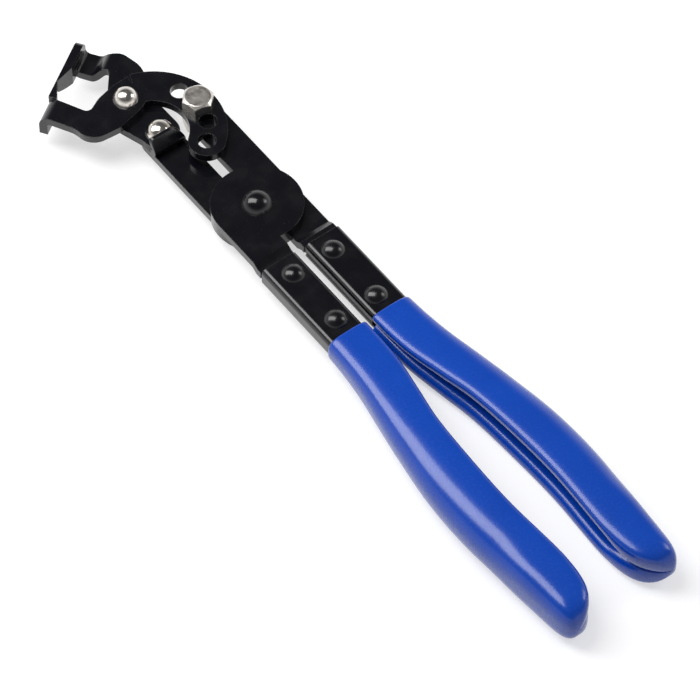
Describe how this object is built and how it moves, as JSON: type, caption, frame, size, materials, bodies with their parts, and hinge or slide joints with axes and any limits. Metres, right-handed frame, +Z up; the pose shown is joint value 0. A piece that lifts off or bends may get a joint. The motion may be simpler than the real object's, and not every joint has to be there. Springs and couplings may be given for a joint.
{
  "type": "rivet clip removal pliers",
  "caption": "Long-handled pliers with an angled compound head whose two blades close under a trim clip and lift its centre pin.",
  "frame": {"origin": "middle of the footprint, at the level that the grips rest on", "axes": "+Y from the grips to the head, +Z up out of the plates, +X to the right"},
  "size_m": [0.066, 0.2908, 0.019],
  "materials": {
    "black_steel": "gloss black",
    "nickel_plate": "bright nickel",
    "blue_vinyl": "gloss dipped vinyl"
  },
  "bodies": {
    "left_lever": {"left_lever_plate": "black_steel", "left_channel": "black_steel", "left_grip": "blue_vinyl", "left_front_handle_rivet": "black_steel", "left_back_handle_rivet": "black_steel", "main_pivot_rivet": "black_steel", "angle_bolt": "nickel_plate", "bolt_nut": "nickel_plate"},
    "right_lever": {"right_lever_plate": "black_steel", "right_channel": "black_steel", "right_grip": "blue_vinyl", "right_front_handle_rivet": "black_steel", "right_back_handle_rivet": "black_steel", "link_rivet": "nickel_plate"},
    "lever_jaw_body": {"lever_jaw": "black_steel", "jaw_pivot_rivet": "nickel_plate"},
    "plain_jaw_body": {"plain_jaw": "black_steel"}
  },
  "joints": [
    {"name": "handles_open", "type": "hinge", "parent": "left_lever", "child": "right_lever", "pos_m": [0.00568, 0.05235, 0.006], "axis": [0, 0, 1], "range_deg": [0, 14]},
    {"name": "lever_jaw_turn", "type": "hinge", "parent": "left_lever", "child": "lever_jaw_body", "pos_m": [0.01378, 0.09715, 0.006], "axis": [0, 0, 1], "range_deg": [0, 10.7]},
    {"name": "plain_jaw_turn", "type": "hinge", "parent": "right_lever", "child": "plain_jaw_body", "pos_m": [-0.00242, 0.09715, 0.006], "axis": [0, 0, 1], "range_deg": [-40.6, 0]}
  ],
  "couplings": [
    {"joint": "lever_jaw_turn", "follows": "handles_open", "ratio": 0.758},
    {"joint": "plain_jaw_turn", "follows": "handles_open", "ratio": -2.892}
  ]
}
